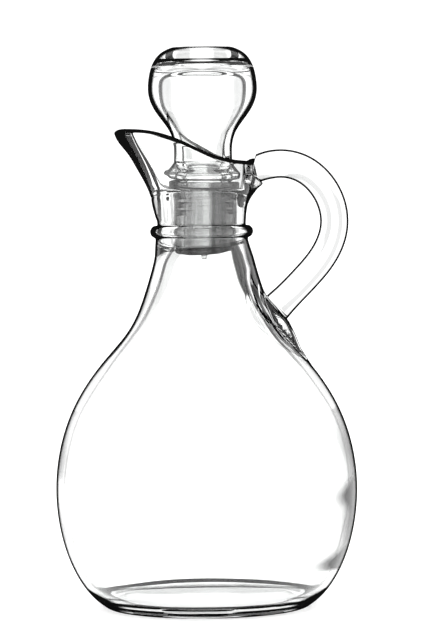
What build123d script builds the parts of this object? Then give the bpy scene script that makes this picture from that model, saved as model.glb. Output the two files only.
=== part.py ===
from build123d import *
import math
import os

# A clear glass table cruet for oil: a blown bottle with a pouring spout, an applied
# glass handle, and a hollow glass stopper whose shank sits in a soft plastic sleeve.
# Millimetres. Z is up, the table is Z = 0 and the neck's axis is the Z axis.
# The spout points along -X and the handle along +X.

# ---- driving dimensions -------------------------------------------------------------
overall_height = 158.75
body_radius = 42.7
body_wall = 2.1
belly_low_z = 31.0
belly_high_z = 34.0
bore_radius = 9.0
bore_bottom_z = 104.6
seat_z = 118.3
finish_z = 108.0  # the round neck ends here and the spout's flare begins
neck_radius = 12.4

foot_inner_radius = 27.0
foot_outer_radius = 28.4
push_up = 1.1
floor_z = 3.0
floor_radius = 28.4

ring_z = 106.55
ring_section_radius = 1.8
ring_reach = 14.55

rim_floor = 126.2  # the rim's height over the handle
rim_spout = 135.8  # and over the spout
# horizontal sections of the finish: height, reach at the back, half width, reach of the beak
finish_sections = (
    (finish_z, neck_radius, neck_radius, neck_radius),
    (115.5, 13.1, 13.85, 14.6),
    (121.0, 14.3, 14.6, 16.8),
    (127.0, 14.9, 14.9, 20.1),
    (132.0, 15.0, 14.9, 23.6),
    (137.5, 15.0, 14.9, 25.6),
)
mouth_sections = (
    (seat_z, 11.0, 11.0, 10.95),
    (121.5, 11.7, 11.6, 12.6),
    (127.0, 12.1, 12.1, 15.5),
    (132.0, 12.2, 12.1, 18.2),
    (138.0, 12.2, 12.1, 21.3),
)

rod_radius = 4.05
rod_crown = (21.8, 125.45)
rod_lead_radius = 19.7
rod_lead_turn = 18.3
rod_bow_radius = 15.2
rod_lower_radius = 21.0
rod_lower_turn = 47.0
rod_straight = 13.3
stub_length = 5.5
pad_root = (12.5, 121.3)
pad_root_size = (4.9, 5.0)
pad_waist = 1.4  # how far short of the rod the pad narrows
pad_waist_size = (4.25, 4.35)

lump_centre = (18.7, 79.8)
lump_length = 22.8
lump_radius = 4.4
lump_angle = -55.7  # follows the shoulder's slope

sleeve_radius = 8.5
sleeve_flange_radius = 10.0
sleeve_flange_bottom = 118.55
sleeve_flange_top = 120.35
sleeve_flange_rounding = 0.5
sleeve_wall = 0.95
sleeve_bottom = 101.5
sleeve_dome = 1.2
bead_reach = 0.3
bead_half_height = 0.6
bead_heights = (112.4, 114.6, 116.8)
nib_radius = 0.8
nib_bottom = 98.9

running_gap = 0.15
end_gap = 0.3  # under the shank, inside the cup
shank_radius = sleeve_radius - sleeve_wall - running_gap
shank_bore_radius = 4.0
shank_bottom = 102.6
stopper_flange_radius = 10.45
stopper_flange_bottom = 121.2
stopper_neck_radius = 8.2
stopper_neck_top = 128.5
knob_radius = 15.38
knob_z = 147.0
knob_flat_radius = 7.9
hollow_top = 153.0
hollow_radius = 12.4

UP = (0, 1)
DOWN = (0, -1)


def arc_chain(start, heading, *points):
    """Arcs from start through the points, each tangent to the one before it."""
    for point in points:
        arc = TangentArc(start, point, tangent=heading)
        start = arc @ 1
        heading = arc % 1


def teardrop(z, back, half_width, tip):
    """A horizontal section at height z: a half circle at +X and a beak reaching -tip."""
    centre_x = back - half_width
    with BuildSketch(Plane.XY.offset(z)) as section:
        with BuildLine():
            ThreePointArc((centre_x, -half_width), (back, 0), (centre_x, half_width))
            Spline(
                (centre_x, half_width),
                (-tip, 0),
                (centre_x, -half_width),
                tangents=((-1, 0), (0, -1), (1, 0)),
            )
        make_face()
    return section.sketch


# ---- the handle's path, shared by the handle and the bottle's two pads --------------
with BuildLine(Plane.XZ) as rod_path:
    CenterArc(
        (rod_crown[0], rod_crown[1] - rod_lead_radius),
        rod_lead_radius,
        90 + rod_lead_turn,
        -rod_lead_turn,
    )
    bow_centre_z = rod_crown[1] - rod_bow_radius
    CenterArc((rod_crown[0], bow_centre_z), rod_bow_radius, 90, -90)
    lower_centre_x = rod_crown[0] + rod_bow_radius - rod_lower_radius
    lower = CenterArc(
        (lower_centre_x, bow_centre_z), rod_lower_radius, 0, -rod_lower_turn
    )
    Line(lower @ 1, lower @ 1 + (lower % 1) * rod_straight)

rod_wire = rod_path.wire()
top_joint = Plane(origin=rod_wire @ 0, x_dir=(0, 1, 0), z_dir=rod_wire % 0)
foot_joint = Plane(origin=rod_wire @ 1, x_dir=(0, 1, 0), z_dir=rod_wire % 1)

# ---- handle: one glass rod, bowed from the back of the spout to the shoulder ----------
with BuildPart() as handle:
    with BuildSketch(top_joint):
        Circle(rod_radius)
    sweep(path=rod_wire)

# ---- the solid lump where the hot foot of the handle was pressed into the shoulder ----
lump_slope = math.radians(lump_angle)
lump_axis = (math.cos(lump_slope), 0, math.sin(lump_slope))
lump_origin = (lump_centre[0], 0, lump_centre[1])
lump_straight = lump_length - 2 * lump_radius
with BuildPart(Plane(origin=lump_origin, z_dir=lump_axis)) as lump:
    Cylinder(lump_radius, lump_straight)
    with Locations((0, 0, lump_straight / 2), (0, 0, -lump_straight / 2)):
        Sphere(lump_radius)

# ---- the space inside: oil chamber, straight bore and open spout ----------------------
with BuildPart() as chamber:
    inner_radius = body_radius - body_wall
    with BuildSketch(Plane.XZ):
        with BuildLine():
            Line((0, floor_z), (floor_radius, floor_z))
            arc_chain((inner_radius, belly_low_z), DOWN, (33.5, 7.7), (floor_radius, floor_z))
            Line((inner_radius, belly_low_z), (inner_radius, belly_high_z))
            arc_chain((inner_radius, belly_high_z), UP, (24.8, 72.0), (14.3, 89.3))
            Polyline(
                (14.3, 89.3),
                (11.0, 100.1),
                (bore_radius, bore_bottom_z),
                (bore_radius, seat_z + 1),
                (0, seat_z + 1),
                (0, floor_z),
            )
        make_face()
    revolve(axis=Axis.Z)
    add(lump.part, mode=Mode.SUBTRACT)

with BuildPart() as spout_space:
    add([teardrop(*section) for section in mouth_sections])
    loft()

# ---- bottle ---------------------------------------------------------------------------
with BuildPart() as bottle:
    # blown body and neck, turned about the axis
    with BuildSketch(Plane.XZ):
        with BuildLine():
            Polyline(
                (0, push_up),
                (foot_inner_radius - 3, push_up),
                (foot_inner_radius, 0),
                (foot_outer_radius, 0),
            )
            arc_chain(
                (body_radius, belly_low_z), DOWN, (36.6, 8.65), (foot_outer_radius, 0)
            )
            Line((body_radius, belly_low_z), (body_radius, belly_high_z))
            arc_chain(
                (body_radius, belly_high_z),
                UP,
                (27.4, 71.5),
                (18.5, 84.85),
                (neck_radius, finish_z),
            )
            Polyline((neck_radius, finish_z), (0, finish_z), (0, push_up))
        make_face()
    revolve(axis=Axis.Z)
    # the moulded ring below the finish
    with BuildSketch(Plane.XZ):
        with Locations((ring_reach - ring_section_radius, ring_z)):
            Circle(ring_section_radius)
    revolve(axis=Axis.Z)
    # the finish, drawn out into the pouring spout
    add([teardrop(*section) for section in finish_sections])
    loft()
    # the rim: level over the spout, then sweeping down to the handle side
    with BuildSketch(Plane.XZ):
        with BuildLine():
            rim = Spline(
                (-30, rim_spout),
                (-15.4, 135.4),
                (-8.3, 133.2),
                (0, 129.3),
                (5.8, 127.2),
                (11.4, 126.4),
                (20, rim_floor),
                tangents=((1, 0), (1, 0)),
            )
            Polyline(rim @ 1, (20, overall_height), (-30, overall_height), rim @ 0)
        make_face()
    extrude(amount=20, both=True, mode=Mode.SUBTRACT)
    # the two pads that the handle is welded to
    add(lump.part)
    with BuildSketch(foot_joint):
        Circle(rod_radius)
    extrude(amount=stub_length)
    pad_plane = Plane(origin=(pad_root[0], 0, pad_root[1]), x_dir=(0, 1, 0), z_dir=(1, 0, 0))
    with BuildSketch(pad_plane):
        Ellipse(*pad_root_size)
    with BuildSketch(top_joint.offset(-pad_waist)):
        Ellipse(*pad_waist_size)
    with BuildSketch(top_joint):
        Circle(rod_radius)
    loft()
    add(chamber.part, mode=Mode.SUBTRACT)
    add(spout_space.part, mode=Mode.SUBTRACT)
    add(handle.part, mode=Mode.SUBTRACT)

# ---- stopper sleeve: a soft cup over the shank, with a flange and sealing beads --------
with BuildPart() as stopper_sleeve:
    cup_bore = shank_radius + running_gap
    with BuildSketch(Plane.XZ):
        with BuildLine():
            ThreePointArc(
                (0, sleeve_bottom - sleeve_dome),
                (4.6, sleeve_bottom - 0.75 * sleeve_dome),
                (sleeve_radius - 0.5, sleeve_bottom),
            )
            Polyline(
                (sleeve_radius - 0.5, sleeve_bottom),
                (sleeve_radius, sleeve_bottom + 0.5),
                (sleeve_radius, sleeve_flange_bottom),
                (sleeve_flange_radius, sleeve_flange_bottom),
                (sleeve_flange_radius, sleeve_flange_top),
                (cup_bore, sleeve_flange_top),
                (cup_bore, shank_bottom - end_gap),
                (0, shank_bottom - end_gap),
                (0, sleeve_bottom - sleeve_dome),
            )
        make_face()
        for bead_z in bead_heights:
            with Locations((sleeve_radius, bead_z)):
                Ellipse(bead_reach, bead_half_height)
        with Locations((nib_radius / 2, (nib_bottom + sleeve_bottom) / 2)):
            Rectangle(nib_radius, sleeve_bottom - nib_bottom)
    revolve(axis=Axis.Z)
    round_edges = stopper_sleeve.edges().filter_by(GeomType.CIRCLE)
    flange_edges = round_edges.filter_by(lambda edge: edge.radius == sleeve_flange_radius)
    fillet(flange_edges, sleeve_flange_rounding)

# ---- stopper glass: hollow knob, neck, flange and open shank ----------------------------
with BuildPart() as stopper_glass:
    with BuildSketch(Plane.XZ):
        with BuildLine():
            Polyline(
                (shank_bore_radius, shank_bottom),
                (shank_radius, shank_bottom),
                (shank_radius, stopper_flange_bottom - 0.6),
                (stopper_flange_radius - 0.8, stopper_flange_bottom),
            )
            flange_edge = ThreePointArc(
                (stopper_flange_radius - 0.8, stopper_flange_bottom),
                (stopper_flange_radius, stopper_flange_bottom + 1.2),
                (stopper_flange_radius - 0.6, stopper_flange_bottom + 2.4),
            )
            Polyline(
                flange_edge @ 1,
                (stopper_neck_radius, stopper_flange_bottom + 4.6),
                (stopper_neck_radius, stopper_neck_top),
            )
            arc_chain(
                (stopper_neck_radius, stopper_neck_top),
                UP,
                (12.3, 139.1),
                (knob_radius, knob_z),
                (14.75, 151.9),
                (knob_flat_radius, overall_height),
            )
            Line((knob_flat_radius, overall_height), (0, overall_height))
            Line((0, overall_height), (0, hollow_top))
            Line((0, hollow_top), (knob_flat_radius, hollow_top))
            arc_chain((hollow_radius, knob_z), UP, (knob_flat_radius, hollow_top))
            arc_chain((hollow_radius, knob_z), DOWN, (9.1, 138.0), (5.9, 129.0))
            Polyline(
                (5.9, 129.0),
                (5.6, 123.5),
                (shank_bore_radius, 119.0),
                (shank_bore_radius, shank_bottom),
            )
        make_face()
    revolve(axis=Axis.Z)

# ---- files ------------------------------------------------------------------------------
bottle.part.label = "bottle"
handle.part.label = "handle"
stopper_sleeve.part.label = "stopper_sleeve"
stopper_glass.part.label = "stopper_glass"

os.makedirs("parts", exist_ok=True)
export_step(bottle.part, "parts/bottle.step")
export_step(handle.part, "parts/handle.step")
export_step(stopper_sleeve.part, "parts/stopper_sleeve.step")
export_step(stopper_glass.part, "parts/stopper_glass.step")
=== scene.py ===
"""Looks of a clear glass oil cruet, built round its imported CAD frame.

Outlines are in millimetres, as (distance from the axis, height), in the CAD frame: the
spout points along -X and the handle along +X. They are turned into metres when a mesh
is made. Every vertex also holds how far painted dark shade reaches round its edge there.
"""

import math

import bmesh
import bpy
import numpy as np
from mathutils import Matrix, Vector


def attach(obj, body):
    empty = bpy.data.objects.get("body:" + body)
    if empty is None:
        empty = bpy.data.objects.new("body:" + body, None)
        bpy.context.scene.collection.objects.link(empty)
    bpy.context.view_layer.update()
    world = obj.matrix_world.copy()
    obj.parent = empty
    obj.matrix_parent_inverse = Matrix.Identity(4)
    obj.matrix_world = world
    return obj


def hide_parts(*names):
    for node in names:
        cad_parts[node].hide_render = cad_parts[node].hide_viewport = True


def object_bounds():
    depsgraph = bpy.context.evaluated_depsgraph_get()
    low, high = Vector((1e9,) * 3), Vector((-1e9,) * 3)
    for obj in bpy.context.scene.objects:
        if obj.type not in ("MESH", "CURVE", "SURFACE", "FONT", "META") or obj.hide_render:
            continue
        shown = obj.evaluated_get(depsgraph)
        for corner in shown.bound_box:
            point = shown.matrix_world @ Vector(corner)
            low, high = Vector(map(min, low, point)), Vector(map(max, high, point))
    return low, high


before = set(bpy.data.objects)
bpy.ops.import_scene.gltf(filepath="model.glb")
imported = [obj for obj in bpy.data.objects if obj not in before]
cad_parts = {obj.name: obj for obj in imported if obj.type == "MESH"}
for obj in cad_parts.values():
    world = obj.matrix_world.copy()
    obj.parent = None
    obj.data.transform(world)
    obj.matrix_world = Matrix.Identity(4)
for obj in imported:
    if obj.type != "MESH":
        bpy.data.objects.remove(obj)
cad_low, cad_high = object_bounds()

MM = 0.001
COLUMNS = 240  # vertices round the bottle
ROUND = 192  # vertices round the stopper and its sleeve


# ---- curves ---------------------------------------------------------------------------
def cubic(knots, values, at):
    """A natural cubic spline with those values at the knots, read at the places `at`."""
    knots = np.asarray(knots, float)
    values = np.asarray(values, float)
    gaps = np.diff(knots)
    slopes = np.diff(values) / gaps
    system = np.eye(len(knots))
    right = np.zeros(len(knots))
    for i in range(1, len(knots) - 1):
        system[i, i - 1 : i + 2] = gaps[i - 1], 2 * (gaps[i - 1] + gaps[i]), gaps[i]
        right[i] = 6 * (slopes[i] - slopes[i - 1])
    bend = np.linalg.solve(system, right)
    span = np.clip(np.searchsorted(knots, at, side="right") - 1, 0, len(gaps) - 1)
    gap = gaps[span]
    a = (knots[span + 1] - at) / gap
    b = 1 - a
    bow = (a**3 - a) * bend[span] + (b**3 - b) * bend[span + 1]
    return a * values[span] + b * values[span + 1] + bow * gap**2 / 6


def lengths(points):
    """Distance along a line of points, at each of them."""
    steps = np.linalg.norm(np.diff(points, axis=0), axis=1)
    return np.concatenate([[0.0], np.cumsum(steps)])


def read_at(points, along, at):
    """Places on a line of points at the distances `at`, where `along` are the points' own."""
    return np.stack([np.interp(at, along, column) for column in points.T], axis=1)


def curve(points):
    """A dense line along the smooth curve through the points."""
    points = np.array(points, float)
    along = lengths(points)
    at = np.linspace(0, along[-1], int(along[-1] / 0.05) + 2)
    return np.stack([cubic(along, column, at) for column in points.T], axis=1)


def soften(points, width):
    """The same outline with its corners rounded over about `width` either side of them."""
    along = lengths(points)
    step = width / 8
    count = int(along[-1] / step) + 2
    dense = read_at(points, along, np.linspace(0, along[-1], count))
    reach = 16
    kernel = np.hanning(2 * reach + 3)[1:-1]
    kernel = kernel / kernel.sum()
    ends = 2 * dense[:1] - dense[reach:0:-1], 2 * dense[-1:] - dense[-2 : -reach - 2 : -1]
    padded = np.concatenate([ends[0], dense, ends[1]])
    smooth = [np.convolve(column, kernel, mode="valid") for column in padded.T]
    return np.stack(smooth, axis=1)


def rows_along(points, longest, turn):
    """Points on a dense outline at most `longest` apart and `turn` degrees of bend apart."""
    along = lengths(points)
    even = np.linspace(0, along[-1], int(along[-1] / 0.04) + 2)
    line = read_at(points, along, even)
    heading = np.unwrap(np.arctan2(*np.diff(line, axis=0).T))
    bend = np.concatenate([[0.0], np.abs(np.diff(heading)), [0.0]])
    cost = np.gradient(even) / longest + np.degrees(bend) / turn
    spent = np.concatenate([[0.0], np.cumsum(cost[1:])])
    picks = np.interp(np.linspace(0, spent[-1], math.ceil(spent[-1]) + 1), spent, even)
    return read_at(line, even, picks)


def arc(centre, radius, start, end):
    """A dense circular arc from one angle to another, in degrees."""
    angles = np.radians(np.linspace(start, end, 40))
    spots = np.stack([np.cos(angles), np.sin(angles)], axis=1)
    return np.array(centre) + radius * spots


def join(*lines):
    """One line out of several, without the points where they meet twice."""
    line = np.concatenate([np.array(part, float).reshape(-1, 2) for part in lines])
    keep = np.concatenate([[True], lengths(line)[1:] - lengths(line)[:-1] > 1e-6])
    return line[keep]


def soft_max(a, b, width):
    """The larger of two surfaces, with the crease between them filled over `width`."""
    overlap = np.maximum(width - np.abs(a - b), 0)
    return np.maximum(a, b) + overlap**2 / (4 * width)


# ---- meshes ---------------------------------------------------------------------------
def face_outwards(mesh):
    work = bmesh.new()
    work.from_mesh(mesh)
    bmesh.ops.recalc_face_normals(work, faces=work.faces)
    work.to_mesh(mesh)
    work.free()


def hold(mesh, name, values, ends):
    """Keep a number at each vertex of a closed grid, for its material to read."""
    values = np.concatenate([values.ravel(), ends])
    mesh.attributes.new(name, "FLOAT", "POINT").data.foreach_set("value", values)


def closed_grid(name, rows, edges, first, last, body, slot, material, replaces):
    """A closed skin: rings of points in millimetres, with a point to close each end.
    edges is how far the painted dark shade reaches round the edge, for each point of the rings."""
    count, columns, _ = rows.shape
    points = np.concatenate([rows.reshape(-1, 3), [first], [last]]) * MM
    start = len(points) - 2
    faces = []
    for j in range(columns):
        k = (j + 1) % columns
        faces.append((start, k, j))
        faces.append((start + 1, (count - 1) * columns + j, (count - 1) * columns + k))
        for i in range(count - 1):
            low, high = i * columns, (i + 1) * columns
            faces.append((low + j, low + k, high + k, high + j))
    mesh = bpy.data.meshes.new(name)
    mesh.from_pydata(points.tolist(), [], faces)
    hold(mesh, "edge", edges, [edges[0].mean(), edges[-1].mean()])
    face_outwards(mesh)
    mesh.shade_smooth()
    mesh.materials.append(material)
    piece = bpy.data.objects.new(name, mesh)
    bpy.context.scene.collection.objects.link(piece)
    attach(piece, body)
    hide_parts(replaces)
    return piece


def turned(name, outline, edge_at, columns, body, slot, material, replaces):
    """A piece turned about the axis, whose outline starts and ends on the axis."""
    angles = np.linspace(0, 2 * np.pi, columns, endpoint=False)
    radius, height = outline[1:-1].T
    rows = np.stack(
        [
            radius[:, None] * np.cos(angles),
            radius[:, None] * np.sin(angles),
            np.repeat(height[:, None], columns, axis=1),
        ],
        axis=2,
    )
    edges = np.repeat(edge_at(radius, height)[:, None], columns, axis=1)
    ends = (0, 0, outline[0][1]), (0, 0, outline[-1][1])
    return closed_grid(name, rows, edges, *ends, body, slot, material, replaces)


# ---- materials ------------------------------------------------------------------------
def new_material(name):
    material = bpy.data.materials.new(name)
    material.use_nodes = True
    nodes, links = material.node_tree.nodes, material.node_tree.links
    nodes.clear()
    shader = nodes.new("ShaderNodeBsdfPrincipled")
    output = nodes.new("ShaderNodeOutputMaterial")
    links.new(shader.outputs["BSDF"], output.inputs["Surface"])
    return material, nodes, links, shader


def maths(nodes, links, operation, *values):
    """A Math node fed with numbers and sockets."""
    node = nodes.new("ShaderNodeMath")
    node.operation = operation
    for socket, value in zip(node.inputs, values):
        if isinstance(value, (int, float)):
            socket.default_value = value
        else:
            links.new(value, socket)
    return node.outputs[0]


def ramp(nodes, links, value, stops):
    """Grey levels along a value, as (place, level) stops."""
    node = nodes.new("ShaderNodeValToRGB")
    elements = node.color_ramp.elements
    elements.remove(elements[-1])
    for i, (place, level) in enumerate(sorted(stops)):
        element = elements[0] if i == 0 else elements.new(place)
        element.position = place
        element.color = (level, level, level, 1)
    links.new(value, node.inputs["Fac"])
    return node.outputs["Color"]


def mix_into_output(nodes, links, share, first, second):
    """Show the first shader where share is 0 and the second where it is 1."""
    mix = nodes.new("ShaderNodeMixShader")
    links.new(share, mix.inputs["Fac"])
    links.new(first.outputs["BSDF"], mix.inputs[1])
    links.new(second.outputs["BSDF"], mix.inputs[2])
    output = next(node for node in nodes if node.type == "OUTPUT_MATERIAL")
    links.new(mix.outputs["Shader"], output.inputs["Surface"])


def grey(nodes, links, level):
    """A colour with the same level in all three channels."""
    colour = nodes.new("ShaderNodeCombineColor")
    for channel in ("Red", "Green", "Blue"):
        links.new(level, colour.inputs[channel])
    return colour.outputs["Color"]


def bump(nodes, links, shader, height, strength, distance):
    node = nodes.new("ShaderNodeBump")
    node.inputs["Strength"].default_value = strength
    node.inputs["Distance"].default_value = distance
    links.new(height, node.inputs["Height"])
    links.new(node.outputs["Normal"], shader.inputs["Normal"])


def noise(nodes, links, place, scale, detail, low, high):
    """A noise read at `place` and stretched to run from low to high."""
    cloud = nodes.new("ShaderNodeTexNoise")
    cloud.inputs["Scale"].default_value = scale
    cloud.inputs["Detail"].default_value = detail
    links.new(place, cloud.inputs["Vector"])
    spread = nodes.new("ShaderNodeMapRange")
    spread.inputs["From Min"].default_value = 0.3
    spread.inputs["From Max"].default_value = 0.7
    spread.inputs["To Min"].default_value = low
    spread.inputs["To Max"].default_value = high
    links.new(cloud.outputs["Fac"], spread.inputs["Value"])
    return spread.outputs["Result"]


# black used as painted shade at the edges of the glass and the plastic
PAINTED_SHADE_BLACK = (0.004, 0.004, 0.004, 1)


def within_reach(nodes, links, name, facing, soft):
    """How far inside the reach that each vertex holds a sight line falls, over `soft`."""
    reach = nodes.new("ShaderNodeAttribute")
    reach.attribute_name = name
    inside = maths(nodes, links, "SUBTRACT", reach.outputs["Fac"], facing)
    return maths(nodes, links, "MULTIPLY", inside, 1 / soft)


def painted_dark_edges(nodes, links, shader, soft):
    """Painted shade: black is mixed over the surface where it is seen at a glance. Each vertex
    holds how far round the edge the painted dark reaches, as the cosine between the sight line and
    the normal: "edge" is for sight lines from either side, and "band" for those that come from in
    the glass.
    The painted dark fades out over `soft`, in the same cosine."""
    look = nodes.new("ShaderNodeLayerWeight")
    look.inputs["Blend"].default_value = 0.5
    facing = maths(nodes, links, "SUBTRACT", 1.0, look.outputs["Facing"])
    from_glass = nodes.new("ShaderNodeNewGeometry").outputs["Backfacing"]
    band = within_reach(nodes, links, "band", facing, soft)
    band = maths(nodes, links, "MULTIPLY", band, from_glass)
    dark = within_reach(nodes, links, "edge", facing, soft)
    dark = maths(nodes, links, "MAXIMUM", dark, band)
    dark = maths(nodes, links, "MAXIMUM", dark, 0.0)
    dark = maths(nodes, links, "MINIMUM", dark, 1.0)
    # painted shade: a black diffuse mixed in over the glass or plastic
    black = nodes.new("ShaderNodeBsdfDiffuse")
    black.inputs["Color"].default_value = PAINTED_SHADE_BLACK
    mix_into_output(nodes, links, dark, shader, black)


GLASS_IOR = 1.5
GLASS_TINTS = [(0.975, 0.985, 0.98, 1), (0.995, 0.998, 0.996, 1)]
PULL_DEPTH = 0.0002  # metres
SMEAR = 0.004  # the roughest that fire-polished glass gets


def glass(name, pull, pull_strength, soft):
    """Clear soda-lime glass: faint grey-green cast, fire-polished skin with slow pull marks,
    and black painted shade at its edges. pull is how many marks there are to the metre, along X, Y
    and Z."""
    material, nodes, links, shader = new_material(name)
    place = nodes.new("ShaderNodeTexCoord").outputs["Object"]
    shader.inputs["Transmission Weight"].default_value = 1.0
    shader.inputs["IOR"].default_value = GLASS_IOR
    tint = nodes.new("ShaderNodeValToRGB")
    for element, colour in zip(tint.color_ramp.elements, GLASS_TINTS):
        element.color = colour
    links.new(noise(nodes, links, place, 25.0, 3.0, 0.0, 1.0), tint.inputs["Fac"])
    links.new(tint.outputs["Color"], shader.inputs["Base Color"])
    links.new(noise(nodes, links, place, 60.0, 4.0, 0.0, SMEAR), shader.inputs["Roughness"])
    stretch = nodes.new("ShaderNodeMapping")
    stretch.inputs["Scale"].default_value = pull
    links.new(place, stretch.inputs["Vector"])
    marks = noise(nodes, links, stretch.outputs["Vector"], 1.0, 2.0, 0.0, 1.0)
    bump(nodes, links, shader, marks, pull_strength, PULL_DEPTH)
    painted_dark_edges(nodes, links, shader, soft)
    return material


# painted shade: how clear the plastic is drawn across it, from -10 mm as 0 to +10 mm as 1, clearer
# down a middle strip and darker to both sides
SLEEVE_PAINTED_SHADE = [
    (0.0, 0.26),
    (0.17, 0.34),
    (0.20, 0.42),
    (0.225, 0.84),
    (0.59, 0.80),
    (0.61, 0.28),
    (0.8, 0.34),
    (1.0, 0.22),
]


PLASTIC_IOR = 1.46
GRAIN_DEPTH = 0.00005  # metres


def sleeve_plastic():
    """Soft translucent grey plastic, slightly cloudy, with the faint grain of its mould, painted
    clearer down a middle strip and darker to the sides as shade, and painted dark at its edges.
    """
    material, nodes, links, shader = new_material("sleeve_plastic")
    place = nodes.new("ShaderNodeTexCoord").outputs["Object"]
    shader.inputs["Transmission Weight"].default_value = 0.92
    shader.inputs["IOR"].default_value = PLASTIC_IOR
    split = nodes.new("ShaderNodeSeparateXYZ")
    links.new(place, split.inputs["Vector"])
    across = maths(nodes, links, "MULTIPLY_ADD", split.outputs["X"], 50.0, 0.5)
    # painted shade: the plastic is drawn clearer down a middle strip and darker to the sides
    painted_zones = ramp(nodes, links, across, SLEEVE_PAINTED_SHADE)
    stretch = nodes.new("ShaderNodeMapping")
    stretch.inputs["Scale"].default_value = (900.0, 900.0, 60.0)
    links.new(place, stretch.inputs["Vector"])
    cloud = noise(nodes, links, stretch.outputs["Vector"], 1.0, 3.0, 0.8, 1.1)
    level = maths(nodes, links, "MULTIPLY", painted_zones, cloud)
    links.new(grey(nodes, links, level), shader.inputs["Base Color"])
    links.new(noise(nodes, links, place, 400.0, 4.0, 0.02, 0.08), shader.inputs["Roughness"])
    grain = noise(nodes, links, place, 1500.0, 2.0, 0.0, 1.0)
    bump(nodes, links, shader, grain, 0.25, GRAIN_DEPTH)
    painted_dark_edges(nodes, links, shader, 0.2)
    return material


BODY_GLASS = glass("bottle_glass", (40.0, 40.0, 25.0), 0.05, 0.06)
ROD_GLASS = glass("handle_glass", (90.0, 90.0, 60.0), 0.08, 0.08)
KNOB_GLASS = glass("stopper_glass_skin", (80.0, 80.0, 120.0), 0.06, 0.08)
PLASTIC = sleeve_plastic()

# ---- the bottle's outlines, in millimetres ----------------------------------------------
BORE_RADIUS = 9.0
SEAT_Z = 118.3
FINISH_Z = 108.6  # above this the neck is no longer round
FLOOR_Z = 3.3
FOOT_RADIUS = 28.4
LIP = 1.3  # height of the rounded lip

UNDERSIDE = [(0, 1.5), (9, 1.45), (17, 1.3), (23.5, 1.15)]
FOOT = [(23.5, 1.15), (26.0, 0.35), (27.0, 0.0), (FOOT_RADIUS, 0.0)]
OUTSIDE = [
    (FOOT_RADIUS, 0.0),
    (32.0, 2.75),
    (37.2, 9.7),
    (41.3, 21.0),
    (42.7, 32.0),
    (42.15, 41.5),
    (37.2, 57.5),
    (28.4, 70.5),
    (21.0, 79.7),
    (16.5, 90.5),
    (14.0, 99.5),
    (13.1, 104.2),
]
RING_CENTRE = (12.8, 106.55)
RING_SECTION = 1.8
NECK_ABOVE_RING = 12.55
INSIDE = [
    (BORE_RADIUS, 104.6),
    (10.9, 100.1),
    (12.5, 94.5),
    (14.4, 89.3),
    (19.0, 80.0),
    (26.8, 69.2),
    (35.5, 56.4),
    (40.1, 41.0),
    (40.65, 32.0),
    (39.0, 21.0),
    (35.3, 10.8),
    (32.7, 6.6),
    (30.0, 4.0),
]
FLOOR = [(30.0, 4.0), (28.4, FLOOR_Z + 0.1), (12.0, FLOOR_Z), (0, FLOOR_Z + 0.05)]

# height, then the section's reach to the handle, half width, reach to the beak and
# radius of the beak's own bend
OUTER_SECTIONS = np.array(
    [
        (108.0, 12.5, 12.5, 12.5, 12.5),
        (112.0, 12.75, 13.1, 13.35, 11.2),
        (115.5, 13.1, 13.85, 14.6, 9.4),
        (118.7, 13.85, 14.35, 15.8, 7.8),
        (122.1, 14.5, 14.7, 17.5, 6.3),
        (125.6, 14.85, 14.85, 19.45, 5.0),
        (128.9, 14.95, 14.9, 21.5, 4.2),
        (132.4, 15.0, 14.9, 24.2, 3.6),
        (134.2, 15.0, 14.9, 25.0, 3.5),
        (137.5, 15.0, 14.9, 25.3, 3.4),
    ]
)
INNER_SECTIONS = np.array(
    [
        (118.3, 11.0, 11.0, 10.95, 10.9),
        (121.5, 11.7, 11.6, 12.6, 7.5),
        (127.0, 12.1, 12.1, 15.5, 4.0),
        (132.0, 12.2, 12.1, 18.2, 2.3),
        (138.0, 12.2, 12.1, 21.3, 1.8),
    ]
)
RIM = np.array(
    [
        (-27.0, 135.85),
        (-20.0, 135.7),
        (-15.4, 135.3),
        (-11.7, 134.35),
        (-8.3, 133.2),
        (0.0, 129.3),
        (5.8, 127.2),
        (11.4, 126.4),
        (17.0, 126.2),
    ]
)

# where the handle's foot was pressed on: height, face of the pad, half width
FOOT_PAD = np.array(
    [
        (68.6, 29.6, 0.5),
        (71.0, 28.5, 3.2),
        (73.4, 27.1, 4.3),
        (77.0, 25.7, 5.0),
        (80.6, 24.0, 5.2),
        (82.0, 23.0, 5.1),
        (83.0, 22.0, 4.9),
        (86.0, 19.4, 4.4),
        (88.0, 17.6, 3.5),
        (89.2, 16.7, 2.4),
        (90.4, 15.6, 1.0),
    ]
)
# where its top was pressed on, below the rim
TOP_PAD = np.array(
    [
        (114.4, 12.7, 0.8),
        (115.4, 13.2, 1.4),
        (117.0, 14.2, 2.4),
        (118.5, 15.3, 3.2),
        (119.6, 16.7, 3.8),
        (120.1, 16.8, 3.9),
        (121.2, 15.9, 4.1),
        (122.4, 14.85, 4.2),
        (124.0, 14.4, 4.2),
    ]
)

columns = np.linspace(0, 2 * np.pi, COLUMNS, endpoint=False)
THETA = columns - 0.25 * np.sin(2 * columns)  # closer together at the spout and handle


def section_radius(theta, height, table):
    """Reach of the section at that height: the hull of a big circle and the beak's small one."""
    back, half, tip, bend = (cubic(table[:, 0], table[:, k], height) for k in range(1, 5))
    centre = back - half
    beak = bend - tip
    lean = (bend - half) / np.maximum(centre - beak, 1e-6)
    lean = np.clip(lean, -0.999, 0.0)
    rise = np.sqrt(1 - lean**2)
    angle = np.abs((theta + np.pi) % (2 * np.pi) - np.pi)
    cosine, sine = np.cos(angle), np.sin(angle)
    big = centre * cosine + np.sqrt(np.maximum(half**2 - (centre * sine) ** 2, 0))
    small = beak * cosine + np.sqrt(np.maximum(bend**2 - (beak * sine) ** 2, 0))
    flank = (lean * centre + half) / np.maximum(lean * cosine + rise * sine, 1e-6)
    leaves = np.arctan2(half * rise, centre + half * lean)
    meets = np.arctan2(bend * rise, beak + bend * lean)
    return np.where(angle < leaves, big, np.where(angle < meets, flank, small))


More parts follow.
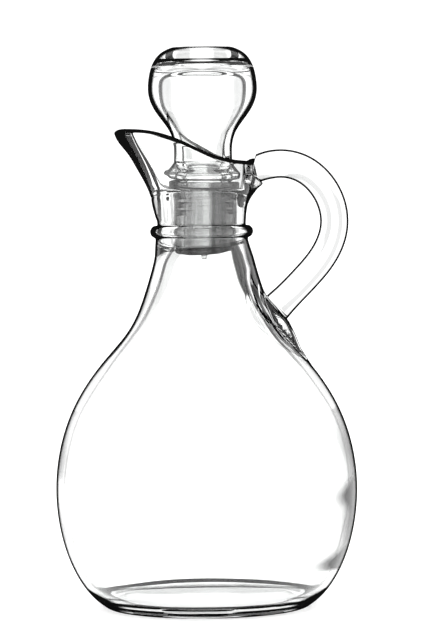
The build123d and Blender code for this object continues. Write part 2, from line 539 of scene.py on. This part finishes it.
def pad(theta, height, wall, table, embed, blend):
    """The wall with a pressed-on pad of glass about the direction of +X."""
    inside = (height > table[0, 0]) & (height < table[-1, 0]) & (np.abs(np.cos(theta)) > 0.5)
    inside &= np.cos(theta) > 0
    cosine = np.where(inside, np.cos(theta), 1.0)
    face = np.interp(height, table[:, 0], table[:, 1]) / cosine
    half = np.interp(height, table[:, 0], table[:, 2])
    across = np.clip(np.abs(wall * np.sin(theta)) / half, 0, 1)
    crown = (1 - across**3) ** (1 / 3)
    proud = wall + (face - wall + embed) * crown - embed
    proud = np.where(inside, proud, wall - 2 * blend)
    return soft_max(wall, proud, blend)


def finish_radius(theta, height):
    """The outer wall of the finish, with the line left by the mould and the handle's pad."""
    wall = section_radius(theta, height, OUTER_SECTIONS)
    seam = 117.05 - 0.85 * np.cos(2 * theta)
    wall = wall - 0.16 * np.exp(-(((height - seam) / 0.35) ** 2))
    return pad(theta, height, wall, TOP_PAD, 0.6, 0.7)


def inner_finish_radius(theta, height):
    return section_radius(theta, height, INNER_SECTIONS)


def lip_height(theta):
    """The lip is lower where the handle's glass has run over the rim."""
    near = np.clip(1 - (degrees_from_handle(theta) / 17.0) ** 2, 0, 1)
    return LIP - 0.7 * near**1.5


def degrees_from_handle(theta):
    return np.degrees(np.abs((theta + np.pi) % (2 * np.pi) - np.pi))


def rim_height(theta, radius):
    """Top of the lip where it stands over that point of the wall."""
    x = radius * np.cos(theta)
    run_over = np.clip(1 - (radius * np.sin(theta) / 4.6) ** 2, 0, 1) ** 1.5
    climb = np.clip((x - 11.2) / 3.4, 0, 1)
    return cubic(RIM[:, 0], RIM[:, 1], x) + 1.1 * run_over * climb * climb * (3 - 2 * climb)


def rim_line(theta, radius_at):
    """Height and radius where a wall of the finish gives way to the lip."""
    height = np.full(theta.shape, 129.0)
    for _ in range(60):
        target = rim_height(theta, radius_at(theta, height)) - lip_height(theta)
        height = 0.6 * height + 0.4 * target
    return height, radius_at(theta, height)


def ripple(theta, height):
    """Slow swells left in blown glass, from -1 to 1."""
    slow = np.sin(2 * theta + height / 11) * np.sin(height / 15 + 1.0)
    quick = np.sin(5 * theta - height / 8 + 0.7)
    return 0.7 * slow + 0.3 * quick


def body_band(height):
    """1 along the blown body, and 0 at its foot and neck."""
    return np.clip((height - 3) / 12, 0, 1) * np.clip((100 - height) / 14, 0, 1)


# height and how far the painted dark shade reaches round the edge there, outside and then inside
OUTSIDE_PAINTED_SHADE = [
    (0.0, 0.20),
    (2.0, 0.32),
    (3.0, 0.38),
    (4.6, 0.36),
    (6.6, 0.20),
    (16.0, 0.19),
    (66.0, 0.21),
    (88.0, 0.32),
    (104.0, 0.36),
    (104.8, 0.50),
    (108.3, 0.50),
    (108.7, 0.38),
]
INSIDE_PAINTED_SHADE = [
    (3.2, 0.11),
    (3.5, 0.30),
    (3.8, 0.36),
    (4.0, 1.30),
    (4.4, 1.30),
    (4.6, 0.34),
    (6.0, 0.22),
    (9.0, 0.16),
    (64.0, 0.18),
    (84.0, 0.34),
    (104.0, 0.45),
    (118.0, 0.40),
]


def painted_streaks(theta, radius):
    """Fine uneven rings of painted shade, for the underside and the inner floor, from 0 to 1."""
    sway = 1.1 * np.sin(2 * theta + 0.6) + 0.7 * np.sin(5 * theta - 1.1) + 0.4 * np.sin(11 * theta)
    wave = np.sin(radius * 1.05 + sway) + 0.7 * np.sin(radius * 2.3 - 1.7 * sway + 1.0)
    return np.clip(0.5 + 0.6 * wave, 0, 1)


def handle_shade_patch(theta, height, middle, reach, wide):
    """1 in the middle of a patch of painted shade on the wall at the handle's side, fading to 0
    round it.
    It reaches that many millimetres up and down and `wide` radians to each side."""
    up = np.clip(1 - ((height - middle) / reach) ** 2, 0, 1)
    turn = (theta + np.pi) % (2 * np.pi) - np.pi
    return np.sqrt(up) * np.exp(-((turn / wide) ** 4))


def painted_heel_lines(theta, height):
    """Uneven lines of painted dark shade round the heel, from 0 to 1."""
    waver = 1.2 * np.sin(3 * theta) + 0.8 * np.sin(7 * theta + 1.0)
    lines = np.clip(1.5 * np.sin(4.6 * height + waver) - 0.2, 0, 1)
    return lines * (np.abs(height - 2.1) < 2.0)


def painted_outside_reach(theta, radius, height):
    """Painted shade on the outer skin: streaked on the underside, lined round the heel, and black
    at the root of the handle's foot.
    """
    edges = np.interp(height, *zip(*OUTSIDE_PAINTED_SHADE))
    underside = (height < 1.6) & (radius < FOOT_RADIUS - 0.2)
    edges = np.where(underside, 0.36 * painted_streaks(theta, radius) - 0.04, edges)
    edges = np.maximum(edges, 1.05 * painted_heel_lines(theta, height) * (radius > FOOT_RADIUS))
    return np.maximum(edges, 1.1 * handle_shade_patch(theta, height, 81.6, 3.6, 0.20))


def painted_inside_reach(theta, radius, height):
    """Painted shade on the inner skin: faint streaks over the floor, and darker in the neck's bore
    on the handle's side.
    """
    edges = np.interp(height, *zip(*INSIDE_PAINTED_SHADE))
    floor = height < FLOOR_Z + 0.15
    edges = np.where(floor, 0.02 + 0.115 * painted_streaks(theta + 1.0, radius * 0.5), edges)
    handle_side = np.clip(1.4 * np.cos(theta) - 0.2, 0, 1)
    neck = np.clip(1 - ((height - 97) / 11) ** 2, 0, 1)
    return edges + 0.34 * handle_side * neck


PAINTED_SHADE_PATCHES = [(33.0, 3.5), (14.5, 2.5)]  # height and reach of painted dark patches, on the handle's side
PAINTED_WALL_BAND = 0.762  # painted grey reaches just over the cosine at which the wall turns light back


def painted_wall_shade(theta, radius, height):
    """Painted shade on the blown wall, seen from in the glass: grey where it turns light back, two
    painted dark patches towards the handle, and painted dark bands along the slope of the lump in
    the shoulder."""
    level = PAINTED_WALL_BAND + 0.014 * np.cos(theta) + 0.008 * np.sin(height / 3.1 + 2 * theta)
    for middle, reach in PAINTED_SHADE_PATCHES:
        patch = np.exp(-(((height - middle) / reach) ** 2))
        level = level + 0.05 * patch * (np.cos(theta) > 0.5)
    bowl = np.clip((height - 9) / 3, 0, 1) * np.clip((64 - height) / 8, 0, 1)
    across = np.abs(radius * np.sin(theta)) + 0.35 * np.sin(height * 0.9)
    painted_stripes = np.clip(0.85 + 1.6 * np.sin(across * 1.5 - 1.0), 0, 1)
    lump = 1.4 * painted_stripes * handle_shade_patch(theta, height, 81.0, 12.5, 0.62)
    return np.maximum(level * bowl, lump)


def painted_finish_reach(theta, height):
    """Painted shade: the beak's solid leading edge and the handle's pad are painted dark nearly all
    over.
    """
    from_beak = np.abs((theta + 2 * np.pi) % (2 * np.pi) - np.pi)
    solid = np.interp(height, [112, 117, 121], [0.4, 1.0, 1.3])
    lead = np.clip(1.25 - from_beak / 0.3, 0, 1) * solid
    root = 1.3 * handle_shade_patch(theta, height, 116.6, 3.2, 0.3)
    return np.maximum(np.maximum(0.36, lead), root)


def painted_lip_reach(theta):
    """The lip is painted black as shade, and clearer towards the handle."""
    near = np.clip(1 - degrees_from_handle(theta) / 90.0, 0, 1)
    return 1.25 - 0.7 * near


def outside_rows():
    """Rings from the middle of the underside to the foot of the finish."""
    ring_low = (13.2, RING_CENTRE[1] - RING_SECTION + 0.06)
    ring = join(
        [ring_low],
        arc(RING_CENTRE, RING_SECTION, -74, 74),
        [(NECK_ABOVE_RING, RING_CENTRE[1] + RING_SECTION - 0.05), (NECK_ABOVE_RING, FINISH_Z)],
    )
    foot = soften(join(UNDERSIDE, FOOT, curve(OUTSIDE)[:40]), 0.9)
    body = curve(OUTSIDE)[40:]
    neck = soften(join(body[-30:], ring), 0.22)
    outline = join(foot, body[:-30], neck)
    radius, height = rows_along(outline[1:], 1.35, 4.0).T
    radius, height = radius[:, None], np.repeat(height[:, None], COLUMNS, axis=1)
    theta = np.repeat(THETA[None], len(height), axis=0)
    swell = 0.03 * ripple(theta, height) * body_band(height)
    wall = radius + swell
    return pad(theta, height, wall, FOOT_PAD, 0.8, 1.0), height


def inside_rows():
    """Rings down the bore and the inner wall to the middle of the inner floor."""
    outline = join([(BORE_RADIUS, SEAT_Z - 0.35)], curve(INSIDE), FLOOR)
    radius, height = rows_along(soften(outline, 0.9)[:-1], 1.35, 4.0).T
    radius, height = radius[:, None], np.repeat(height[:, None], COLUMNS, axis=1)
    theta = np.repeat(THETA[None], len(height), axis=0)
    swell = 0.09 * ripple(theta + 1.9, height + 20) * body_band(height)
    across = radius * np.sin(theta)
    facing = np.clip(np.cos(theta), 0, 1)
    along = np.clip(1 - ((height - 82.0) / 13.5) ** 2, 0, 1) ** 1.3
    lump = 4.6 * along * np.exp(-((across / 4.2) ** 2)) * (facing > 0.3)
    return radius + swell - lump, height


LIP_ROWS = 13
FINISH_ROWS = 65
TROUGH_ROWS = 44
EASE_STEPS = 12  # the finish has left the round neck a twelfth of the way up


def outer_finish(base_radius, base_height):
    """Rings up the outer wall from the round neck to the lip."""
    top = rim_line(THETA, finish_radius)[0]
    steps = np.linspace(0, 1, FINISH_ROWS + 1)[1:, None]
    height = base_height + (top - base_height) * steps
    ease = np.clip(steps * EASE_STEPS, 0, 1)
    wall = finish_radius(np.repeat(THETA[None], FINISH_ROWS, axis=0), height)
    radius = base_radius + (wall - base_radius) * ease * ease * (3 - 2 * ease)
    return radius, height


def lip_rings():
    """The rounded lip, from the outer wall over to the inner one."""
    outer_top, outer_radius = rim_line(THETA, finish_radius)
    inner_top, inner_radius = rim_line(THETA, inner_finish_radius)
    sweep = np.radians(np.linspace(0, 180, LIP_ROWS + 2))[1:-1, None]
    middle = (outer_radius + inner_radius) / 2
    radius = middle + (outer_radius - inner_radius) / 2 * np.cos(sweep)
    level = (outer_top + inner_top) / 2 + (outer_top - inner_top) / 2 * np.cos(sweep)
    return radius, level + lip_height(THETA) * np.sin(sweep)


def trough_rings():
    """Rings down the inner wall from the lip to just above the stopper's seat."""
    top = rim_line(THETA, inner_finish_radius)[0]
    steps = np.linspace(0, 1, TROUGH_ROWS)[:, None]
    height = top + (SEAT_Z + 0.5 - top) * steps
    return inner_finish_radius(np.repeat(THETA[None], TROUGH_ROWS, axis=0), height), height


def ledge_rings(trough_radius):
    """The seat that the stopper's flange rests over, from its corner to the bore's edge."""
    bore = np.full(COLUMNS, BORE_RADIUS)
    radius = [
        trough_radius - 0.08,
        trough_radius - 0.3,
        trough_radius * 0.5 + bore * 0.5,
        bore + 0.3,
        bore + 0.08,
    ]
    rise = np.array([0.2, 0.0, 0.0, 0.0, -0.1])
    return np.stack(radius), SEAT_Z + rise[:, None] * np.ones(COLUMNS)


def lean(heights):
    """The neck's skin stands a little towards the spout, as it was blown."""
    up = np.clip((heights - 98) / 7, 0, 1) * np.clip((118 - heights) / 7, 0, 1)
    return -0.65 * up * up * (3 - 2 * up)


def make_bottle():
    radius, height = outside_rows()
    finish, finish_height = outer_finish(radius[-1], height[-1])
    lip, lip_level = lip_rings()
    trough, trough_height = trough_rings()
    ledge, ledge_height = ledge_rings(trough[-1])
    bore, bore_height = inside_rows()
    # how far painted dark shade reaches round the edge, part by part; the trough and ledge get even
    # amounts
    edges = [
        painted_outside_reach(THETA, radius, height),
        painted_finish_reach(THETA, finish_height),
        np.repeat(painted_lip_reach(THETA)[None], LIP_ROWS, axis=0),
        np.full(trough.shape, 0.4),
        np.full(ledge.shape, 0.5),
        painted_inside_reach(THETA, bore, bore_height),
    ]
    radii = np.concatenate([radius, finish, lip, trough, ledge, bore])
    heights = np.concatenate(
        [height, finish_height, lip_level, trough_height, ledge_height, bore_height]
    )
    shift = lean(heights)
    shift[-len(bore) :] = 0  # the bore stays upright
    # painted shade for sight lines from in the glass, on the inner wall only
    painted_bands = np.zeros(heights.shape)
    painted_bands[-len(bore) :] = painted_wall_shade(THETA, bore, bore_height)

    rows = np.stack([radii * np.cos(THETA) + shift, radii * np.sin(THETA), heights], axis=2)
    ends = (0, 0, UNDERSIDE[0][1]), (0, 0, FLOOR[-1][1])
    piece = closed_grid(
        "bottle_glass",
        rows,
        np.concatenate(edges),
        *ends,
        "bottle",
        "clear_glass",
        BODY_GLASS,
        "bottle",
    )
    hold(piece.data, "band", painted_bands, [0, 0])


# ---- the handle -------------------------------------------------------------------------
ROD_RADIUS = 4.05
ROD_GAP = 0.02  # between the rod's ends and the pads
ROD_COLUMNS = 96
ROD_ROWS = 210
ROD_STEPS = 700  # along the rod's line, to find where it meets its pads
PRESSED_LENGTH = 7.0  # the rod is flattened over this at its top
FLARE_LENGTH = 8.0  # and spreads over this at its foot
TOP_REACH = 12.0  # the rod meets its upper pad within this of its line's start
FOOT_REACH = 15.0  # and its lower one within this of its end
ROD_LINE = [
    (13.0, 123.2),
    (17.7, 124.95),
    (23.3, 125.42),
    (28.7, 123.65),
    (33.26, 119.63),
    (36.2, 114.0),
    (36.9, 108.0),
    (33.85, 99.53),
    (29.04, 93.58),
    (19.6, 84.1),
]
PAD_SPAN = (109.0, 127.6)  # heights between which the wall is asked for at the rod's top
FOOT_PLANE = (19.75, 85.7)
FOOT_NORMAL = (0.77, 0.638)


def rod_rings():
    """Rings of the rod from the finish to the shoulder, cut to its pads at both ends."""
    around = np.linspace(0, 2 * np.pi, ROD_COLUMNS, endpoint=False)
    line = curve(ROD_LINE)
    along = lengths(line)
    fine = np.linspace(0, along[-1], ROD_STEPS)
    line = read_at(line, along, fine)
    heading = np.gradient(line, axis=0)
    heading /= np.linalg.norm(heading, axis=1)[:, None]
    side = np.stack([-heading[:, 1], heading[:, 0]], axis=1)

    flat = np.clip(1 - fine / PRESSED_LENGTH, 0, 1) ** 1.5
    flare = 0.5 * np.clip(1 - (fine[-1] - fine) / FLARE_LENGTH, 0, 1) ** 2
    tall = ROD_RADIUS - 0.35 * flat + flare
    wide = ROD_RADIUS + 0.3 * flat + flare
    in_plane = line[:, None] + (tall[:, None] * np.cos(around))[..., None] * side[:, None]
    x, z = in_plane[..., 0], in_plane[..., 1]
    y = wide[:, None] * np.sin(around)

    theta = np.arctan2(y, x)
    wall = finish_radius(theta, np.clip(z, *PAD_SPAN)) + ROD_GAP
    beyond_wall = np.hypot(x, y) - wall
    outside_top = (beyond_wall > 0) | (fine[:, None] > TOP_REACH)
    plane = np.array(FOOT_PLANE) + ROD_GAP * np.array(FOOT_NORMAL)
    clear = (x - plane[0]) * FOOT_NORMAL[0] + (z - plane[1]) * FOOT_NORMAL[1]
    outside_foot = (clear > 0) | (fine[:, None] < fine[-1] - FOOT_REACH)

    step = fine[1] - fine[0]
    rings = np.zeros((ROD_ROWS, len(around), 3))
    for j in range(len(around)):
        first = np.argmax(outside_top[:, j])
        last = len(fine) - 1 - np.argmax(outside_foot[::-1, j])
        before, after = beyond_wall[first - 1, j], beyond_wall[first, j]
        start = fine[first] - step * after / (after - before)
        before, after = clear[last, j], clear[last + 1, j]
        end = fine[last] + step * before / (before - after)
        at = np.linspace(start, end, len(rings))
        for k, values in enumerate((x, y, z)):
            rings[:, j, k] = np.interp(at, fine, values[:, j])
    return rings


def cap(ring, press):
    """Rings that close the end of the rod, each pressed onto the surface it meets."""
    centre = ring.mean(axis=0)
    rings = [press(centre + (ring - centre) * share) for share in (0.93, 0.75, 0.5, 0.25)]
    return rings, press(centre[None])[0]


def onto_finish(points):
    """Move points along X until they lie just off the finish."""
    theta = np.arctan2(points[:, 1], points[:, 0])
    wall = finish_radius(theta, np.clip(points[:, 2], *PAD_SPAN)) + ROD_GAP
    x = np.sqrt(np.maximum(wall**2 - points[:, 1] ** 2, 0))
    return np.stack([x, points[:, 1], points[:, 2]], axis=1)


def make_handle():
    rings = rod_rings()
    top_rings, top_end = cap(rings[0], onto_finish)
    foot_rings, foot_end = cap(rings[-1], lambda points: points)
    rows = np.concatenate([np.array(top_rings[::-1]), rings, np.array(foot_rings)])
    # the rod's skin carries an even reach of painted dark shade round its edges
    closed_grid(
        "handle_rod",
        rows,
        np.full(rows.shape[:2], 0.55),
        top_end,
        foot_end,
        "bottle",
        "clear_glass",
        ROD_GLASS,
        "handle",
    )


# ---- the stopper ------------------------------------------------------------------------
SHANK_RADIUS = 7.4
SHANK_BOTTOM = 102.6
SHANK_BORE = 4.0
SHANK_BORE_TOP = 118.6
KNOB_TOP = 158.75
KNOB_CEILING = 153.0
KNOB = [
    (7.9, KNOB_TOP),
    (10.2, 157.9),
    (12.3, 156.5),
    (14.1, 153.9),
    (15.25, 149.5),
    (15.3, 145.3),
    (14.0, 141.6),
    (11.4, 137.8),
    (9.2, 134.4),
    (8.3, 131.2),
    (8.2, 127.6),
]
STOPPER_FLANGE = [
    (8.25, 125.8),
    (9.7, 123.75),
    (10.3, 123.3),
    (10.45, 122.4),
    (10.2, 121.5),
    (9.6, 121.2),
    (7.9, 120.8),
    (SHANK_RADIUS, 120.2),
]
HOLLOW = [
    (SHANK_BORE, SHANK_BORE_TOP),
    (5.2, 121.5),
    (5.7, 125.0),
    (6.0, 129.5),
    (7.3, 134.5),
    (9.9, 138.9),
    (12.0, 143.2),
    (12.45, 147.2),
    (11.8, 150.4),
    (9.9, 152.3),
    (7.0, KNOB_CEILING - 0.05),
]
# height and how far the painted dark shade reaches round the edge there
KNOB_PAINTED_SHADE = [(102, 0.3), (118, 0.4), (124, 0.4), (130, 0.45), (151, 0.45), (156, 0.4)]


def stopper_outline():
    dished_top = [(0, KNOB_TOP - 0.2), (4.0, KNOB_TOP - 0.15)]
    shank = [
        (SHANK_RADIUS, SHANK_BOTTOM),
        (SHANK_BORE, SHANK_BOTTOM),
        (SHANK_BORE, SHANK_BORE_TOP),
    ]
    hollow = join(curve(HOLLOW), [(0, KNOB_CEILING)])
    whole = join(dished_top, curve(KNOB), STOPPER_FLANGE, shank, hollow)
    return rows_along(soften(whole, 0.45), 0.7, 4.0)


def painted_stopper_reach(radius, height):
    """How far the painted dark shade reaches: wide on the knob, none on its flat top, painted dark
    lines inside it.
    """
    edges = np.interp(height, *zip(*KNOB_PAINTED_SHADE))
    # a painted dark line round the knob near its top
    rim_line = (np.abs(height - 154.6) < 0.45) & (radius > 10)
    edges = np.where(rim_line, 0.9, edges)
    ceiling = (height > KNOB_CEILING - 0.4) & (height < KNOB_CEILING + 0.1)
    painted_ceiling_line = np.abs(radius - 6.4) < 0.8
    edges = np.where(ceiling, np.where(painted_ceiling_line, 1.2, 0.0), edges)
    return np.where(height > KNOB_TOP - 0.35, 0.0, edges)


def make_stopper():
    turned(
        "stopper_knob_and_shank",
        stopper_outline(),
        painted_stopper_reach,
        ROUND,
        "stopper",
        "clear_glass",
        KNOB_GLASS,
        "stopper_glass",
    )


# ---- the sleeve -------------------------------------------------------------------------
SLEEVE_RADIUS = 8.5
CUP_BORE = 7.55
CUP_FLOOR = 102.3
SLEEVE_FLANGE = [(10.0, 118.55), (10.0, 120.35)]
BEADS = (112.4, 114.6, 116.8)
BEAD_HALF = 0.6
BEAD_REACH = 0.3
BEAD_TURNS = (0.8, 1.57, 2.34)  # radians round a bead's half circle
SLEEVE_UNDER = [
    (0, 98.9),
    (0.6, 98.9),
    (0.85, 99.3),
    (0.85, 100.35),
    (4.6, 100.6),
    (8.0, 101.5),
    (SLEEVE_RADIUS, 102.0),
]


def sleeve_outline():
    side = []
    for bead in BEADS:
        side.append((SLEEVE_RADIUS, bead - BEAD_HALF))
        for turn in BEAD_TURNS:
            reach = SLEEVE_RADIUS + BEAD_REACH * math.sin(turn)
            side.append((reach, bead - BEAD_HALF * math.cos(turn)))
        side.append((SLEEVE_RADIUS, bead + BEAD_HALF))
    (_, bottom), (_, top) = SLEEVE_FLANGE
    flange = [(SLEEVE_RADIUS, bottom), *SLEEVE_FLANGE, (CUP_BORE, top)]
    cup = [(CUP_BORE, CUP_FLOOR), (0, CUP_FLOOR)]
    return rows_along(soften(join(SLEEVE_UNDER, side, flange, cup), 0.25), 0.6, 6.0)


def painted_sleeve_reach(radius, height):
    """Painted dark lines at the beads, under the flange and round the cup's foot, over painted
    shade round every edge.
    """
    by_bead = sum(np.abs(height - bead) < 0.8 for bead in BEADS) > 0
    by_bead &= radius > SLEEVE_RADIUS - 0.05
    flange = (radius > SLEEVE_RADIUS + 0.4) & (height > 118)
    painted_flange_line = flange & (height < 119.0)
    painted_foot_line = (radius > 7.6) & (height > 101.3) & (height < 102.1)
    edges = np.where(by_bead, 0.8, np.where(flange, 0.75, 0.5))
    return np.where(painted_flange_line | painted_foot_line, 1.25, edges)


def make_sleeve():
    turned(
        "stopper_sleeve_cup",
        sleeve_outline(),
        painted_sleeve_reach,
        ROUND,
        "sleeve",
        "sleeve_plastic",
        PLASTIC,
        "stopper_sleeve",
    )


# ---- studio -----------------------------------------------------------------------------
def bearing(nodes, links, x, y):
    """Direction round the object as 0 to 1, where 0.5 is straight behind it along +Y."""
    turn = maths(nodes, links, "ARCTAN2", x, y)
    return maths(nodes, links, "MULTIPLY_ADD", turn, 1 / (2 * math.pi), 0.5)


def is_plain(nodes, links):
    """1 for what the camera sees directly and for what lights the floor, and 0 in the glass."""
    paths = nodes.new("ShaderNodeLightPath")
    lights_floor = maths(nodes, links, "GREATER_THAN", paths.outputs["Diffuse Depth"], 0.5)
    return maths(nodes, links, "MAXIMUM", paths.outputs["Is Camera Ray"], lights_floor)


FLOOR_HALF = 20.0  # metres
FLOOR_GAP = 0.00005  # below the foot
FLOOR_GLOW = 0.5
FLOOR_NEAR = 0.5  # metres: the lit table top as the glass sees it, and where it has faded out
FLOOR_FAR = 0.95
# degrees round the object and the brightness of the table top there, as the glass sees it: painted
# shade, darker over one sector
FLOOR_PAINTED_SHADE = [(-180, 1.0), (10, 1.0), (22, 0.72), (50, 0.78), (70, 1.0), (180, 1.0)]


def make_floor():
    mesh = bpy.data.meshes.new("floor")
    corners = [(x * FLOOR_HALF, y * FLOOR_HALF, 0) for x, y in ((-1, -1), (1, -1), (1, 1), (-1, 1))]
    mesh.from_pydata(corners, [], [(0, 1, 2, 3)])
    floor = bpy.data.objects.new("floor", mesh)
    floor.location.z = cad_low.z - FLOOR_GAP
    bpy.context.scene.collection.objects.link(floor)
    material, nodes, links, shader = new_material("floor_white")
    place = nodes.new("ShaderNodeTexCoord").outputs["Object"]
    split = nodes.new("ShaderNodeSeparateXYZ")
    links.new(place, split.inputs["Vector"])
    x, y = split.outputs["X"], split.outputs["Y"]
    plain = is_plain(nodes, links)
    # painted shade on the table top for rays from the glass; the camera sees it evenly white
    stops = [(angle / 360 + 0.5, level) for angle, level in FLOOR_PAINTED_SHADE]
    painted_sides = ramp(nodes, links, bearing(nodes, links, x, y), stops)
    painted_sides = maths(nodes, links, "MAXIMUM", painted_sides, plain)
    grain = noise(nodes, links, place, 2.0, 2.0, 0.90, 0.93)
    level = maths(nodes, links, "MULTIPLY", painted_sides, grain)
    links.new(grey(nodes, links, level), shader.inputs["Base Color"])
    shader.inputs["Roughness"].default_value = 0.9
    shader.inputs["Specular IOR Level"].default_value = 0.0
    shader.inputs["Emission Color"].default_value = (1, 1, 1, 1)
    shader.inputs["Emission Strength"].default_value = FLOOR_GLOW

    away = nodes.new("ShaderNodeVectorMath")
    away.operation = "LENGTH"
    links.new(place, away.inputs[0])
    fade = nodes.new("ShaderNodeMapRange")
    fade.inputs["From Min"].default_value = FLOOR_NEAR
    fade.inputs["From Max"].default_value = FLOOR_FAR
    links.new(away.outputs["Value"], fade.inputs["Value"])
    gone = maths(nodes, links, "SUBTRACT", fade.outputs["Result"], plain)
    gone = maths(nodes, links, "MAXIMUM", gone, 0.0)
    mix_into_output(nodes, links, gone, shader, nodes.new("ShaderNodeBsdfTransparent"))
    mesh.materials.append(material)


PANEL_HALF = 8.0  # degrees: a white panel stands every 45 degrees, straight behind each view
PANEL_SOFT = 2.0
PANEL_STEP = 45
WHITE = 1.4
# brightness of the two halves of the gap that follows each panel
GAPS = [
    (0.8, 0.5),
    (0.5, 0.8),
    (0.8, 0.5),
    (0.85, 0.6),
    (0.6, 0.85),
    (0.5, 0.8),
    (0.8, 0.5),
    (0.5, 0.8),
]
# height as the angle above straight down over 180 degrees, and the brightness there
ABOVE = [(0.0, 1.0), (0.62, 1.0), (0.80, 0.85), (0.9, 0.6), (1.0, 0.6)]


def panels():
    """Brightness round the horizon, as stops for a ramp."""
    stops = []
    for step, (near, far) in enumerate(GAPS):
        middle = step * PANEL_STEP - 180
        after = middle + PANEL_STEP
        turns = [
            (middle + PANEL_HALF, 1.0),
            (middle + PANEL_HALF + PANEL_SOFT, near),
            (middle + 22, near),
            (middle + 24, far),
            (after - PANEL_HALF - PANEL_SOFT, far),
            (after - PANEL_HALF, 1.0),
        ]
        stops += [(turn / 360 + 0.5, level) for turn, level in turns]
    return stops


def make_world():
    world = bpy.data.worlds.new("studio")
    bpy.context.scene.world = world
    world.use_nodes = True
    nodes, links = world.node_tree.nodes, world.node_tree.links
    nodes.clear()
    direction = nodes.new("ShaderNodeTexCoord").outputs["Generated"]
    split = nodes.new("ShaderNodeSeparateXYZ")
    links.new(direction, split.inputs["Vector"])
    turn = bearing(nodes, links, split.outputs["X"], split.outputs["Y"])
    stops = panels()
    west = ramp(nodes, links, turn, [stop for stop in stops if stop[0] <= 0.5])
    east = ramp(nodes, links, turn, [stop for stop in stops if stop[0] >= 0.5])
    around = maths(nodes, links, "MULTIPLY", west, east)
    rise = maths(nodes, links, "ARCSINE", split.outputs["Z"])
    rise = maths(nodes, links, "MULTIPLY_ADD", rise, 1 / math.pi, 0.5)
    studio = maths(nodes, links, "MULTIPLY", around, ramp(nodes, links, rise, ABOVE))
    seen = maths(nodes, links, "MAXIMUM", studio, is_plain(nodes, links))
    background = nodes.new("ShaderNodeBackground")
    output = nodes.new("ShaderNodeOutputWorld")
    links.new(maths(nodes, links, "MULTIPLY", seen, WHITE), background.inputs["Strength"])
    links.new(background.outputs["Background"], output.inputs["Surface"])
    background.inputs["Color"].default_value = (1, 1, 1, 1)


CAMERA_PLACE = (0.00187, -0.900, 0.1168)
CAMERA_DOWN = 2.27  # degrees below level
CAMERA_ROLL = -0.63  # degrees
LENS = 178.15
SENSOR = 36.0


def make_camera():
    camera = bpy.data.cameras.new("camera")
    camera.lens = LENS
    camera.sensor_width = SENSOR
    camera.clip_start = 0.05
    camera.clip_end = 100.0
    seen = bpy.data.objects.new("camera", camera)
    bpy.context.scene.collection.objects.link(seen)
    place = Matrix.Translation(CAMERA_PLACE)
    pitch = Matrix.Rotation(math.radians(90 - CAMERA_DOWN), 4, "X")
    roll = Matrix.Rotation(math.radians(CAMERA_ROLL), 4, "Z")
    seen.matrix_world = place @ pitch @ roll
    bpy.context.scene.camera = seen


def set_look():
    scene = bpy.context.scene
    scene.view_settings.view_transform = "Standard"
    scene.view_settings.look = "None"
    scene.cycles.max_bounces = 40
    scene.cycles.transmission_bounces = 40
    scene.cycles.glossy_bounces = 20
    scene.cycles.diffuse_bounces = 3


make_camera()
make_bottle()
make_handle()
make_stopper()
make_sleeve()
make_floor()
make_world()
set_look()
